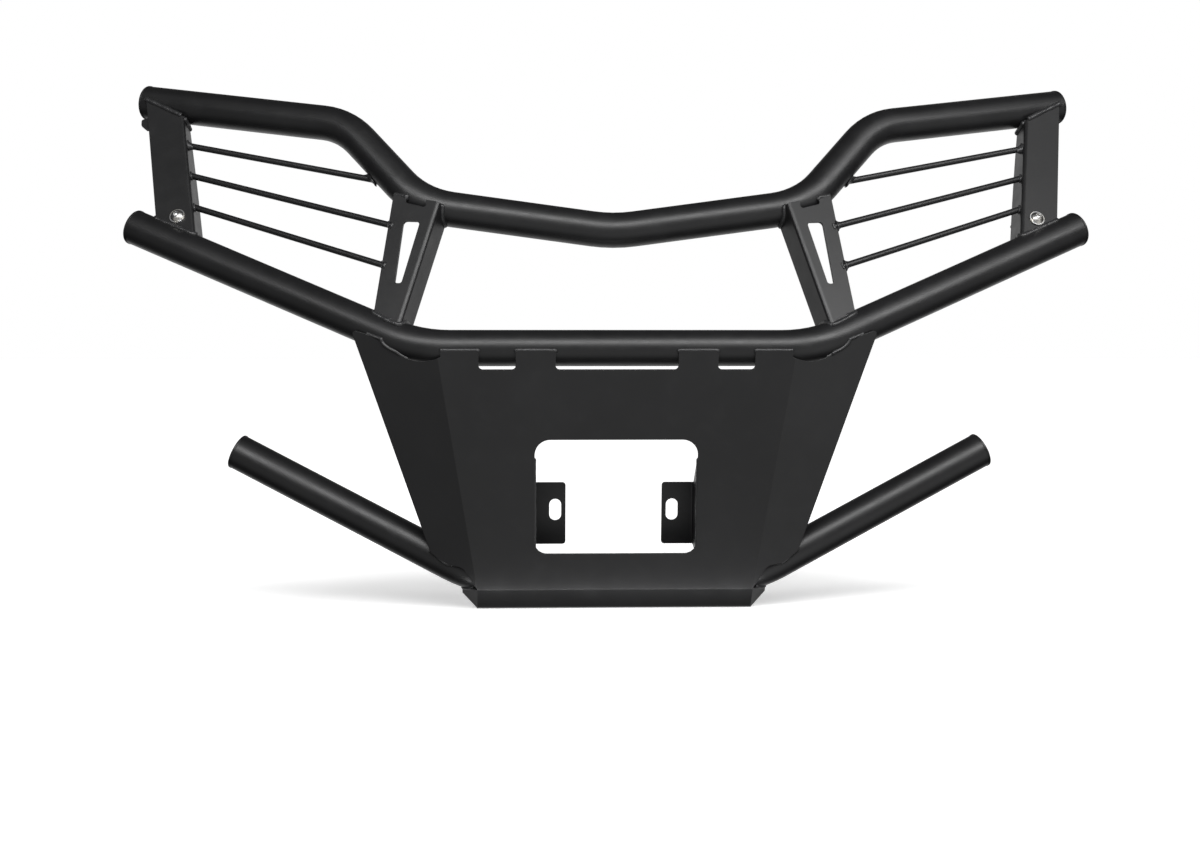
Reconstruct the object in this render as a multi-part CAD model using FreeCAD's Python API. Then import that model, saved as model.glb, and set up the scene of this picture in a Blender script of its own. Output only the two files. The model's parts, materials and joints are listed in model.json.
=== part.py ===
import FreeCAD, Part
from collections import namedtuple
import math
import os

# Front grille guard for a side-by-side vehicle: three bent steel tubes, a folded
# skid plate, two uprights, two wing plates, six thin rods, and the bolted bracket kit.
#
# Frame: +X to the right seen from in front, +Y to the rear (towards the vehicle),
# +Z up.  Shapes are designed about the axis of the main tube, then moved so that the
# origin is the centre of the skid plate's flat underside.  Everything is symmetric
# about X = 0, and right means the +X side.  Sizes are in millimetres.

V = FreeCAD.Vector

# ---- working values: a cut longer than any piece is deep, and small tolerances ----
CUT_REACH = 200.0
ALMOST = 0.999
NEAR = 0.1
SAME_POINT = 1e-6

# ---- driving dimensions: tubes ----
TUBE_OD = 44.5
TUBE_WALL = 2.0
TUBE_R = TUBE_OD / 2
BEND_R = 140.0
HOOP_BEND_R = 100.0
CENTRE_BEND_R = 190.0

MAIN_BEND = V(242, 0, 0)
MAIN_END = V(610, 160, 154)

HOOP_CENTRE = V(0, 80, 146)
HOOP_LOW_BEND = V(242, 88, 179)
HOOP_HIGH_BEND = V(340, 150, 285)
HOOP_END = V(610, 270, 325.5)

LOWER_BEND = V(172, 46, -284.5)
LOWER_END = V(474, 112, -132.5)

CAP_RIM_OVERHANG = 0.5
CAP_RIM_THICKNESS = 3.0
CAP_RIM_ROUND = 1.4
CAP_PLUG_DEPTH = 8.0
CAP_PLUG_GAP = 0.1

# ---- driving dimensions: sheet metal ----
SHEET = 3.0
FOLD_OUTER_R = 5.0

# skid plate, seen from the front: half widths (x) and heights (z) on its faces
PLATE_FOLD_TOP_X = 219.0
PLATE_FOLD_BOTTOM_X = 171.0
PLATE_TOP_Z = -2.8
PLATE_BOTTOM_Z = -299.0
SIDE_FOLD_ANGLE = 19.0
TABS_X = [(74.7, 123.0), (168.0, 214.0)]
TAB_GAP_Z = -26.0
TAB_GAP_R = 5.0
TAB_CORNER_R = 2.0
BEND_CUTOUT_CENTRE = (236.0, 34.5)
BEND_CUTOUT_R = 50.5
SIDE_TOP_INNER = (275.0, 7.5)
SIDE_TOP_OUTER = (323.8, 22.8)
SIDE_FOOT_OUTER = (229.0, -253.0)
SIDE_FOOT_MIDDLE = (211.0, -267.5)
SIDE_FOOT_INNER = (189.0, -271.0)
SIDE_CORNER_R = 4.0
SIDE_FOOT_MIDDLE_R = 12.0
SIDE_FOOT_INNER_R = 14.0
WINDOW_HALF_WIDTH = 100.0
WINDOW_TOP_Z = -112.0
WINDOW_BOTTOM_Z = -254.0
WINDOW_TOP_R = 19.0
WINDOW_BOTTOM_R = 15.0
LIP_DROP = 26.5
LIP_SETBACK = 26.5
LIP_START = 20.0
LIP_FOLD_R = 9.0
FLOOR_DEPTH = 34.0
FLAP_REACH_X = 19.0
FLAP_REACH_Y = 26.0
FLAP_DROP = 7.0

# brackets welded behind the window, each a flange and an in-turned tab
WINDOW_TAB_SETBACK = 58.0
WINDOW_TAB_WIDTH = 39.5
WINDOW_TAB_TOP = 177.0
WINDOW_TAB_HEIGHT = 79.5
WINDOW_TAB_R = 4.0
WINDOW_FLANGE_ROOT_TOP = 134.0
WINDOW_SLOT_X = 73.5
WINDOW_SLOT_DOWN = 212.0
WINDOW_SLOT_LENGTH = 28.0
WINDOW_SLOT_WIDTH = 15.0

# uprights between the hoop and the main tube: corners seen from the front
UPRIGHT_SWEEP = 18.0
UPRIGHT_FOOT_LAP = 8.0
UPRIGHT_DEPTH_IN_HOOP = 18.8
UPRIGHT_STATION_X = 277.0
UPRIGHT_TOP_OUTER = (275.2, 193.0)
UPRIGHT_TOP_INNER = (217.0, 181.0)
UPRIGHT_FOOT_INNER = (263.6, 28.0)
UPRIGHT_FOOT_OUTER = (296.8, 39.0)
UPRIGHT_NOTCH = [(259.5, 198.0), (259.5, 181.0), (234.0, 174.5), (234.0, 192.0)]
UPRIGHT_NOTCH_R = 3.0
UPRIGHT_HOLE = [(261.8, 157.9), (241.0, 156.9), (263.0, 79.6), (271.2, 79.7)]
UPRIGHT_HOLE_TOP_R = 5.0
UPRIGHT_HOLE_FOOT_R = 3.4
UPRIGHT_FLANGE = 36.0

# wing plates near the tube ends
WING_STATION_X = 566.0
WING_HOOP_STATION_X = 583.0
WING_DEPTH_IN_HOOP = 17.2
WING_FOOT_INNER = (526.5, 131.0)
WING_FOOT_OUTER = (580.5, 158.0)
WING_TOP_OUTER = (610.0, 328.0)
WING_TOP_INNER = (557.5, 302.5)
WING_FLANGE_TOP = 29.0
WING_FLANGE_MIDDLE = 37.0
WING_FLANGE_FOOT = 39.0
WING_FLANGE_BLANK = 45.0
WING_SLOT_LENGTH = 20.0
WING_SLOT_WIDTH = 11.0
WING_SLOT_ABOVE_TUBE = 11.5
REAR_TAB = [(12.0, 146.0), (31.0, 150.0), (37.5, 159.0), (36.5, 168.0), (12.0, 170.0)]
REAR_TAB_R = 3.0

# thin rods: outer ends as fractions up the wing plate's inner edge
ROD_D = 8.0
ROD_OUTER_FRACTIONS = [0.811, 0.571, 0.325]
ROD_FLANGE_DEPTH = 12.0
ROD_HOOP_POINT = V(269, 105, 206)
ROD_UPRIGHT_POINTS = [(276.5, 152.5), (284.5, 102.0)]

# ---- driving dimensions: bracket kit ----
GAP = 0.1
NOTCH_CLEARANCE = 0.5
EAR_INNER = -10.5
SADDLE_OUTER = 23.0
EAR_TOP = 40.0
EAR_CORNER_R = 8.0
EAR_ABOVE_TUBE = 2.5
EAR_SLOT_LENGTH = 24.0
EAR_SLOT_WIDTH = 11.0
EAR_SLOT_CENTRE = 2.6
SADDLE_DEPTH = 60.0
SADDLE_BACK_TOP = 24.0
SADDLE_BACK_FOOT = -22.0
ARM_INNER = -12.0
ARM_PATH = [(24.1, -60.0), (40.8, -3.4), (132.0, -17.0), (127.0, -47.0)]
ARM_BEND_R = [15.0, 8.0]
SHELF_SCREW_FROM_END = 16.0
END_SCREW_FROM_END = 14.0

# button-head screws: the neck under the head is as thin as the thread's pitch diameter
Screw = namedtuple("Screw", "thread_r neck_r length thread_length head_r head_h hex_width")
M10 = Screw(5.0, 4.5, 25.0, 16.0, 8.75, 5.0, 6.0)
M6 = Screw(3.0, 2.65, 16.0, 11.0, 5.25, 3.3, 4.0)
M10_WASHER_R = 10.0
M10_WASHER_T = 2.0
M6_WASHER_R = 6.0
M6_WASHER_T = 1.2
WASHER_BORE_GAP = 0.2
SCREW_HOLE_GAP = 0.3
THREAD_CHAMFER = 0.15
SOCKET_FLOOR = 0.35


# ---- general helpers ----
def unit(vector):
    """The vector at length one."""
    return V(vector).normalize()


def along_x(start, end, x):
    """The point of the line from start to end whose X is x."""
    return start + (end - start) * ((x - start.x) / (end.x - start.x))


def rounded_path(points, radii, closed=False):
    """A wire through the points, each corner rounded by an arc of its radius."""
    count = len(points)
    pieces = []
    for i, corner in enumerate(points):
        if radii[i] == 0 or (not closed and i in (0, count - 1)):
            pieces.append((corner, None, corner))
            continue
        back = unit(points[i - 1] - corner)
        ahead = unit(points[(i + 1) % count] - corner)
        half = back.getAngle(ahead) / 2
        tangent = radii[i] / math.tan(half)
        centre = corner + unit(back + ahead) * (radii[i] / math.sin(half))
        middle = centre + unit(corner - centre) * radii[i]
        pieces.append((corner + back * tangent, middle, corner + ahead * tangent))
    edges = []
    for i, (start, middle, end) in enumerate(pieces):
        if middle is not None:
            edges.append(Part.Arc(start, middle, end).toShape())
        following = pieces[(i + 1) % count][0]
        last = i == count - 1
        if (closed or not last) and end.distanceToPoint(following) > SAME_POINT:
            edges.append(Part.makeLine(end, following))
    return Part.Wire(edges)


def prism(points, direction, radii=None):
    """The flat outline of the points, corners rounded, pushed along the direction."""
    wire = rounded_path(points, radii or [0] * len(points), closed=True)
    return Part.Face(wire).extrude(direction)


def largest(shape):
    """The biggest solid of a shape that a cut has left in pieces."""
    return max(shape.Solids, key=lambda solid: solid.Volume)


def mirrored(shape):
    """The same shape on the other side of the centre plane."""
    return shape.mirror(V(0, 0, 0), V(1, 0, 0))


def both_sides(points):
    """A right-hand chain of points as one chain from the left end to the right."""
    left = [V(-p.x, p.y, p.z) for p in reversed(points) if p.x > 0]
    return left + points


class Plane:
    """A flat sheet's front face: a point on it and its normal, pointing forward."""

    def __init__(self, point, normal):
        self.point = point
        self.normal = unit(normal)

    def at(self, x, z):
        """The point of the plane seen at (x, z) from straight in front."""
        n = self.normal
        y = self.point.y - (n.x * (x - self.point.x) + n.z * (z - self.point.z)) / n.y
        return V(x, y, z)

    def outline(self, pairs):
        """Points of the plane for a list of (x, z) pairs."""
        return [self.at(x, z) for x, z in pairs]

    def sheet(self, pairs, radii=None):
        """A sheet with this front face and the outline given as (x, z) pairs."""
        return prism(self.outline(pairs), self.normal * -SHEET, radii)

    def cutter(self, pairs, radii):
        """A tool that cuts the outline right through the sheet."""
        reach = 3 * SHEET
        start = [p + self.normal * reach for p in self.outline(pairs)]
        return prism(start, self.normal * (-2 * reach), radii)


def bent_sheet(points, radii, sweep, inner_point):
    """A sheet bent along a flat chain of points and swept to its width.

    The points lie on the outer skin; the thickness is on inner_point's side.
    """
    skin = rounded_path(points, radii)
    sections = [skin.makeOffset2D(side * SHEET, 0, True, True) for side in (1, -1)]
    section = min(sections, key=lambda s: s.CenterOfMass.distanceToPoint(inner_point))
    return section.extrude(sweep)


# ---- tubes ----
def tube_solid(path_points, bend_radii, radius):
    """A solid rod of the given radius along a bent path."""
    path = rounded_path(path_points, bend_radii)
    direction = path_points[1] - path_points[0]
    circle = Part.Wire(Part.makeCircle(radius, path_points[0], direction))
    return Part.Wire(path).makePipeShell([circle], True, True)


def bent_tube(right_points, right_radii):
    """A symmetric tube: its solid outer envelope and the hollow tube itself."""
    points = both_sides(right_points)
    left_radii = [r for p, r in zip(reversed(right_points), reversed(right_radii)) if p.x > 0]
    radii = left_radii + right_radii
    envelope = tube_solid(points, radii, TUBE_R)
    bore = tube_solid(points, radii, TUBE_R - TUBE_WALL)
    return envelope, envelope.cut(bore)


def end_cap(tube_end, outward):
    """A welded cap: a rimmed disc on the tube's end and a short plug inside it."""
    direction = unit(outward)
    rim_r = TUBE_R + CAP_RIM_OVERHANG
    rim = Part.makeCylinder(rim_r, CAP_RIM_THICKNESS, tube_end, direction)
    outer_edges = [e for e in rim.Edges if abs(e.Length - 2 * math.pi * rim_r) < 0.01
                   and (e.CenterOfMass - tube_end).Length > CAP_RIM_THICKNESS / 2]
    rim = rim.makeFillet(CAP_RIM_ROUND, outer_edges)
    plug_r = TUBE_R - TUBE_WALL - CAP_PLUG_GAP
    plug = Part.makeCylinder(plug_r, CAP_PLUG_DEPTH, tube_end, direction * -1)
    return rim.fuse(plug).removeSplitter()


# ---- skid plate ----
def skid_front_plane():
    """The centre panel's front face: it lies against the main and lower tubes."""
    down = unit(V(0, LOWER_BEND.y, LOWER_BEND.z))
    normal = V(0, down.z, -down.y)
    return Plane(normal * (TUBE_R + SHEET), normal)


def skid_side_plane(front):
    """The right side panel: the centre plane turned back about the fold line."""
    top, bottom = fold_line(front)
    turn = FreeCAD.Rotation(bottom - top, -SIDE_FOLD_ANGLE)
    normal = turn.multVec(front.normal)
    if normal.x < 0:
        normal = turn.inverted().multVec(front.normal)
    return Plane(top, normal)


def fold_line(front):
    """The right fold between the centre panel and the side panel, top and bottom."""
    top = front.at(PLATE_FOLD_TOP_X, PLATE_TOP_Z)
    bottom = front.at(PLATE_FOLD_BOTTOM_X, PLATE_BOTTOM_Z)
    return top, bottom


def centre_panel(front):
    """The centre panel with its four weld tabs and the gaps between them."""
    inner_tab, outer_tab = TABS_X
    fold_side = PLATE_FOLD_TOP_X
    right = [(PLATE_FOLD_BOTTOM_X, PLATE_BOTTOM_Z), (fold_side, PLATE_TOP_Z)]
    radii = [0, 0]
    for start, end in (outer_tab, inner_tab):
        right += [(start, PLATE_TOP_Z), (start, TAB_GAP_Z)]
        radii += [TAB_CORNER_R, TAB_GAP_R]
        if start == outer_tab[0]:
            right += [(inner_tab[1], TAB_GAP_Z), (inner_tab[1], PLATE_TOP_Z)]
            radii += [TAB_GAP_R, TAB_CORNER_R]
    left = [(-x, z) for x, z in reversed(right)]
    return front.sheet(right + left, radii + radii[::-1])


def side_panel(side):
    """The right side panel, from the fold out to its edge along the tubes."""
    outline = [(PLATE_FOLD_TOP_X, PLATE_TOP_Z), SIDE_TOP_INNER, SIDE_TOP_OUTER,
               SIDE_FOOT_OUTER, SIDE_FOOT_MIDDLE, SIDE_FOOT_INNER,
               (PLATE_FOLD_BOTTOM_X, PLATE_BOTTOM_Z)]
    radii = [0] + [SIDE_CORNER_R] * 3 + [SIDE_FOOT_MIDDLE_R, SIDE_FOOT_INNER_R, 0]
    return side.sheet(outline, radii)


def bend_cutout():
    """The round relief that clears the main tube's bend, outboard of the last tab."""
    x, z = BEND_CUTOUT_CENTRE
    reach = CUT_REACH
    disc = Part.makeCylinder(BEND_CUTOUT_R, 2 * reach, V(x, -reach, z), V(0, 1, 0))
    outboard = Part.makeBox(reach, 2 * reach, 2 * reach, V(TABS_X[1][1], -reach, -reach))
    return disc.common(outboard)


def lip_corners(front):
    """The right end of the lip: where it leaves the panel and where it meets the floor."""
    top = front.at(PLATE_FOLD_BOTTOM_X, PLATE_BOTTOM_Z)
    bottom = top + V(0, LIP_SETBACK, -LIP_DROP)
    return top, bottom


def flat_sheet(points):
    """A sheet whose outer face is the flat outline of the points, seen anticlockwise
    from outside, with its thickness on the inner side."""
    normal = unit((points[1] - points[0]).cross(points[2] - points[0]))
    return prism(points, normal * -SHEET)


def skid_bottom(front):
    """The lip that turns under the panel, the short floor, and the two end flaps."""
    top, low = lip_corners(front)
    rear = low + V(0, FLOOR_DEPTH, 0)
    start = front.at(PLATE_FOLD_BOTTOM_X, PLATE_BOTTOM_Z + LIP_START)
    width = V(-2 * PLATE_FOLD_BOTTOM_X, 0, 0)
    chain = [V(PLATE_FOLD_BOTTOM_X, p.y, p.z) for p in (start, top, low, rear)]
    lip = bent_sheet(chain, [0, LIP_FOLD_R, LIP_FOLD_R, 0], width, V(0, rear.y, start.z))

    flap_top = top + V(FLAP_REACH_X, FLAP_REACH_Y, 0)
    across = (low - top).cross(flap_top - top)
    drop_y = (FLAP_REACH_X * across.x - FLAP_DROP * across.z) / -across.y
    flap_low = V(top.x + FLAP_REACH_X, top.y + drop_y, top.z - FLAP_DROP)
    flap = flat_sheet([top, low, flap_low, flap_top])
    return [lip, flap, mirrored(flap)]


def window_outline():
    """The window's corners as (x, z) pairs with their radii."""
    w = WINDOW_HALF_WIDTH
    corners = [(w, WINDOW_TOP_Z), (-w, WINDOW_TOP_Z), (-w, WINDOW_BOTTOM_Z), (w, WINDOW_BOTTOM_Z)]
    return corners, [WINDOW_TOP_R, WINDOW_TOP_R, WINDOW_BOTTOM_R, WINDOW_BOTTOM_R]


def skid_plate(front, envelopes):
    """The whole folded skid plate, trimmed where the tubes pass through it."""
    right_panel = side_panel(skid_side_plane(front))
    bottom = skid_bottom(front)
    plate = centre_panel(front).fuse([right_panel, mirrored(right_panel)] + bottom)
    plate = plate.removeSplitter().cut(front.cutter(*window_outline()))
    relief = bend_cutout()
    plate = plate.cut([relief, mirrored(relief)])
    return largest(plate.cut(envelopes))


def window_bracket(front):
    """The right bracket behind the window: a tapered flange and a slotted tab."""
    down = unit(V(0, LOWER_BEND.y, LOWER_BEND.z))
    back = front.normal * -1
    root = front.point * (TUBE_R / (TUBE_R + SHEET)) + V(WINDOW_HALF_WIDTH + SHEET, 0, 0)
    height = WINDOW_TAB_TOP + WINDOW_TAB_HEIGHT - WINDOW_FLANGE_ROOT_TOP
    deep = WINDOW_TAB_SETBACK + SHEET

    def spot(inward, lower, depth):
        return root - V(inward, 0, 0) + down * lower + back * depth

    top = WINDOW_FLANGE_ROOT_TOP
    width = WINDOW_TAB_WIDTH + SHEET
    chain = [spot(0, top, 0), spot(0, top, deep), spot(width, top, deep)]
    bracket = bent_sheet(chain, [0, FOLD_OUTER_R, 0], down * height, spot(width, top, 0))

    foot = top + height
    taper = prism([spot(-SHEET, top - SHEET, SHEET), spot(-SHEET, WINDOW_TAB_TOP, deep - FOLD_OUTER_R),
                   spot(-SHEET, WINDOW_TAB_TOP, 2 * deep), spot(-SHEET, top - SHEET, 2 * deep)],
                  V(-2 * width, 0, 0))
    corner = WINDOW_TAB_R
    face = prism([spot(-SHEET, WINDOW_TAB_TOP, -SHEET), spot(width, WINDOW_TAB_TOP, -SHEET),
                  spot(width, foot, -SHEET), spot(-SHEET, foot, -SHEET)],
                 back * (2 * deep), [0, corner, corner, 0])
    root_part = prism([spot(-SHEET, top, -SHEET), spot(FOLD_OUTER_R, top, -SHEET),
                       spot(FOLD_OUTER_R, foot, -SHEET), spot(-SHEET, foot, -SHEET)],
                      back * (2 * deep))
    bracket = bracket.cut(taper).common(face.fuse(root_part))
    slot_centre = spot(WINDOW_HALF_WIDTH + SHEET - WINDOW_SLOT_X, WINDOW_SLOT_DOWN, deep + SHEET)
    slot = slot_tool(slot_centre, down, V(1, 0, 0), back * (-3 * SHEET),
                     WINDOW_SLOT_LENGTH, WINDOW_SLOT_WIDTH)
    return largest(bracket.cut(slot))


def slot_tool(centre, along, across, push, length, width):
    """A round-ended slot cutter about a centre, pushed along a vector."""
    half_l = length / 2
    half_w = width / 2
    corners = [centre + along * a + across * b
               for a, b in ((-half_l, -half_w), (half_l, -half_w), (half_l, half_w), (-half_l, half_w))]
    just_round = half_w * ALMOST
    return prism(corners, push, [just_round] * 4)


# ---- uprights ----
def upright_plane():
    """The right upright's front face: from the front of the main tube's top to the hoop."""
    tube = unit(MAIN_END - MAIN_BEND)
    up = unit(V(0, 0, 1) - tube * tube.z)
    sweep = math.radians(UPRIGHT_SWEEP)
    level = V(math.sin(sweep), -math.cos(sweep), 0)
    rise = math.sqrt(TUBE_R ** 2 - UPRIGHT_FOOT_LAP ** 2)
    station = along_x(MAIN_BEND, MAIN_END, UPRIGHT_STATION_X)
    foot = station + up * rise + level * UPRIGHT_FOOT_LAP
    normal = leaning_normal(foot, HOOP_LOW_BEND, level, V(0, 0, 1), UPRIGHT_DEPTH_IN_HOOP)
    return Plane(foot + normal * SHEET, normal)


def leaning_normal(foot, hoop_point, level, up, distance):
    """The normal, turned up from level, of the plane through foot that passes in
    front of hoop_point at the given distance."""
    reach = hoop_point - foot
    ahead = -reach.dot(level)
    rise = reach.dot(up)
    lean = math.atan2(ahead, rise) - math.asin(distance / math.hypot(ahead, rise))
    return level * math.cos(lean) + up * math.sin(lean)


def flanged_sheet(plane, corners, depth, radii=None):
    """A sheet with a flange folded back along its first edge.

    The corners are (x, z) pairs: the top and foot of the folded edge, then the rest.
    """
    top, foot = plane.outline(corners[:2])
    along = unit(top - foot)
    back = plane.normal * -1
    out = along.cross(back)
    if out.x < 0:
        out = out * -1
    reach = 2 * (plane.at(*corners[2]) - foot).Length
    start = foot - along * reach
    chain = [start + back * depth, start, start + out * reach]
    blank = bent_sheet(chain, [0, FOLD_OUTER_R, 0], along * (4 * reach), start + (back + out) * depth)
    lift = plane.normal * SHEET
    trim = prism([p + lift for p in plane.outline(corners)], back * (depth + 2 * SHEET), radii)
    return blank.common(trim)


def upright(envelopes):
    """The right upright: a tapered face with a tapered hole, and an inner flange."""
    plane = upright_plane()
    corners = [UPRIGHT_TOP_INNER, UPRIGHT_FOOT_INNER, UPRIGHT_FOOT_OUTER, UPRIGHT_TOP_OUTER]
    piece = flanged_sheet(plane, corners, UPRIGHT_FLANGE)
    notch = plane.cutter(UPRIGHT_NOTCH, [0, UPRIGHT_NOTCH_R, UPRIGHT_NOTCH_R, 0])
    hole = plane.cutter(UPRIGHT_HOLE, [UPRIGHT_HOLE_TOP_R] * 2 + [UPRIGHT_HOLE_FOOT_R] * 2)
    return largest(piece.cut([notch, hole]).cut(envelopes))


# ---- wing plates and their bracket frame ----
class WingFrame:
    """Directions and places on the right wing plate.

    tube: along the main tube; up: in the plate, square to the tube; front: the
    plate's normal.  rise: along the plate's long edges; across: square to rise.
    """

    def __init__(self):
        self.tube = unit(MAIN_END - MAIN_BEND)
        radial_up = unit(V(0, 0, 1) - self.tube * self.tube.z)
        level = self.tube.cross(radial_up)
        self.tube_axis = along_x(MAIN_BEND, MAIN_END, WING_STATION_X)
        self.seat = self.tube_axis + radial_up * TUBE_R
        hoop_point = along_x(HOOP_HIGH_BEND, HOOP_END, WING_HOOP_STATION_X)
        self.front = leaning_normal(self.seat, hoop_point, level, radial_up, WING_DEPTH_IN_HOOP)
        self.up = self.front.cross(self.tube)
        self.bolt = self.seat + self.up * WING_SLOT_ABOVE_TUBE
        self.plane = Plane(self.seat + self.front * SHEET, self.front)
        edge = self.plane.at(*WING_TOP_INNER) - self.plane.at(*WING_FOOT_INNER)
        self.rise = unit(edge)
        self.across = self.rise.cross(self.front)

    def spot(self, across, rise, front=0.0):
        """A point given across, up and in front of the bolt centre on the back face."""
        return self.bolt + self.across * across + self.rise * rise + self.front * front

    def tube_top(self, across):
        """How far up the plate the main tube's top line is, at a place across it."""
        side = self.across.dot(self.up)
        return (-WING_SLOT_ABOVE_TUBE - side * across) / self.rise.dot(self.up)


def wing_plate(wing, envelopes):
    """The right wing plate: a plain face, an inner flange, and the adjusting slot."""
    plane = wing.plane
    corners = [WING_TOP_INNER, WING_FOOT_INNER, WING_FOOT_OUTER, WING_TOP_OUTER]
    piece = flanged_sheet(plane, corners, WING_FLANGE_BLANK).common(wing_flange_curve(wing))
    slot_across = wing.front.cross(wing.tube)
    slot = slot_tool(wing.bolt + wing.front * (2 * SHEET), wing.tube, slot_across,
                     wing.front * (-3 * SHEET), WING_SLOT_LENGTH, WING_SLOT_WIDTH)
    return largest(piece.cut(slot).cut(envelopes))


def wing_flange_curve(wing):
    """The room in front of the flange's rear edge, which is a shallow curve."""
    top = wing.plane.at(*WING_TOP_INNER)
    foot = wing.plane.at(*WING_FOOT_INNER)
    back = wing.front * -1
    rear_top = top + wing.rise * SHEET + back * WING_FLANGE_TOP
    rear_middle = (top + foot) * 0.5 + back * WING_FLANGE_MIDDLE
    rear_foot = foot - wing.rise * SHEET + back * WING_FLANGE_FOOT
    front_foot = foot - wing.rise * SHEET + wing.front * SHEET
    rear_high = rear_top + wing.rise * (2 * WING_FLANGE_BLANK)
    front_high = rear_high + wing.front * (WING_FLANGE_TOP + SHEET)
    wire = Part.Wire([Part.makeLine(front_foot, front_high), Part.makeLine(front_high, rear_high),
                      Part.makeLine(rear_high, rear_top),
                      Part.Arc(rear_top, rear_middle, rear_foot).toShape(),
                      Part.makeLine(rear_foot, front_foot)])
    reach = wing.across * (2 * (top - foot).Length)
    face = Part.Face(wire)
    face.translate(reach * -0.5)
    return face.extrude(reach)


def rear_tab(wing, hoop_envelope):
    """A small ear behind a wing plate's outer edge, close under the hoop.

    Only the left end of the guard carries it; it is drawn at the right and mirrored.
    """
    points = [wing.spot(a, r) for a, r in REAR_TAB]
    ear = prism(points, wing.front * -SHEET, [0, REAR_TAB_R, REAR_TAB_R, REAR_TAB_R, 0])
    return largest(ear.cut(hoop_envelope))


# ---- rods ----
def rod(start, end, trimmers):
    """A thin rod between two points, trimmed back to the pieces it is welded to."""
    axis = end - start
    body = Part.makeCylinder(ROD_D / 2, axis.Length, start, axis)
    return largest(body.cut(trimmers))


def rods(wing, upright_piece, wing_piece, hoop_envelope):
    """The three right-hand rods, from the highest to the lowest."""
    top = wing.plane.at(*WING_TOP_INNER)
    foot = wing.plane.at(*WING_FOOT_INNER)
    plane = upright_plane()
    inner_ends = [ROD_HOOP_POINT]
    for x, z in ROD_UPRIGHT_POINTS:
        inner_ends.append(plane.at(x, z) - plane.normal * (SHEET / 2))
    result = []
    for fraction, inner in zip(ROD_OUTER_FRACTIONS, inner_ends):
        outer = foot + (top - foot) * fraction - wing.front * ROD_FLANGE_DEPTH
        outer = outer + wing.across * (SHEET / 2)
        result.append(rod(inner, outer, [hoop_envelope, upright_piece, wing_piece]))
    return result


# ---- bracket kit ----
def bracket_saddle(wing):
    """The slotted ear behind the wing plate, folded to a web notched over the tube."""
    ear_foot = wing.tube_top(EAR_INNER) + EAR_ABOVE_TUBE
    web_foot = wing.tube_top(SADDLE_OUTER) + EAR_ABOVE_TUBE
    low = SADDLE_BACK_FOOT - SADDLE_DEPTH
    chain = [wing.spot(EAR_INNER, low, -GAP), wing.spot(SADDLE_OUTER, low, -GAP),
             wing.spot(SADDLE_OUTER, low, -SADDLE_DEPTH)]
    blank = bent_sheet(chain, [0, FOLD_OUTER_R, 0], wing.rise * (EAR_TOP - low),
                       wing.spot(EAR_INNER, low, -SADDLE_DEPTH))
    ear_room = prism([wing.spot(EAR_INNER, ear_foot, SHEET), wing.spot(SADDLE_OUTER, web_foot, SHEET),
                      wing.spot(SADDLE_OUTER, EAR_TOP, SHEET), wing.spot(EAR_INNER, EAR_TOP, SHEET)],
                     wing.front * (-2 * SADDLE_DEPTH), [EAR_CORNER_R / 2, 0, 0, EAR_CORNER_R])
    web_chain = [wing.spot(SADDLE_OUTER, web_foot, SHEET), wing.spot(SADDLE_OUTER, EAR_TOP, SHEET),
                 wing.spot(SADDLE_OUTER, EAR_TOP, -FOLD_OUTER_R),
                 wing.spot(SADDLE_OUTER, SADDLE_BACK_TOP, -SADDLE_DEPTH),
                 wing.spot(SADDLE_OUTER, SADDLE_BACK_FOOT, -SADDLE_DEPTH),
                 wing.spot(SADDLE_OUTER, SADDLE_BACK_FOOT, -SADDLE_DEPTH / 3)]
    web_trim = prism([p + wing.across for p in web_chain], wing.across * (EAR_INNER - SADDLE_OUTER) * 2)
    web_only = prism([p + wing.across for p in web_chain], wing.across * -(FOLD_OUTER_R + 1))
    piece = blank.common(web_trim).common(ear_room.fuse(web_only))
    slot = slot_tool(wing.spot(0, EAR_SLOT_CENTRE, SHEET), wing.rise, wing.across,
                     wing.front * (-3 * SHEET), EAR_SLOT_LENGTH, EAR_SLOT_WIDTH)
    reach = wing.tube * CUT_REACH
    notch = Part.makeCylinder(TUBE_R + NOTCH_CLEARANCE, 2 * reach.Length,
                              wing.tube_axis - reach, wing.tube)
    return largest(piece.cut([slot, notch]))


def arm_points(wing, across):
    """The arm's outer skin at one side of the strip."""
    return [wing.spot(across, rise, front) for rise, front in ARM_PATH]


def bracket_arm(wing):
    """A folded strip: a shelf on the web, a long arm up behind the plate, an end tab."""
    sweep = wing.across * (SADDLE_OUTER - ARM_INNER)
    points = arm_points(wing, ARM_INNER)
    strip = bent_sheet(points, [0] + ARM_BEND_R + [0], sweep, (points[0] + points[3]) * 0.5)
    holes = []
    for seat, direction in screw_seats(wing):
        start = seat + direction * (2 * SHEET)
        holes.append(Part.makeCylinder(M6.thread_r + SCREW_HOLE_GAP, 4 * SHEET, start, direction * -1))
    return strip.cut(holes)


def screw_seats(wing):
    """Where each M6 screw bears on the arm: the point under the washer and its axis."""
    middle = (ARM_INNER + SADDLE_OUTER) / 2
    points = arm_points(wing, middle)
    seats = []
    for end, neighbour, distance, lift in ((points[0], points[1], SHELF_SCREW_FROM_END, SHEET),
                                           (points[3], points[2], END_SCREW_FROM_END, 0)):
        along = unit(neighbour - end)
        normal = along.cross(wing.across)
        if normal.dot(wing.rise) < 0:
            normal = normal * -1
        seats.append((end + along * distance + normal * lift, normal))
    return seats


def washer(seat, direction, outer_r, screw, thickness):
    """A flat ring lying on a seat, with room for the screw."""
    ring = Part.makeCylinder(outer_r, thickness, seat, direction)
    return ring.cut(Part.makeCylinder(screw.thread_r + WASHER_BORE_GAP, thickness, seat, direction))


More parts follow.
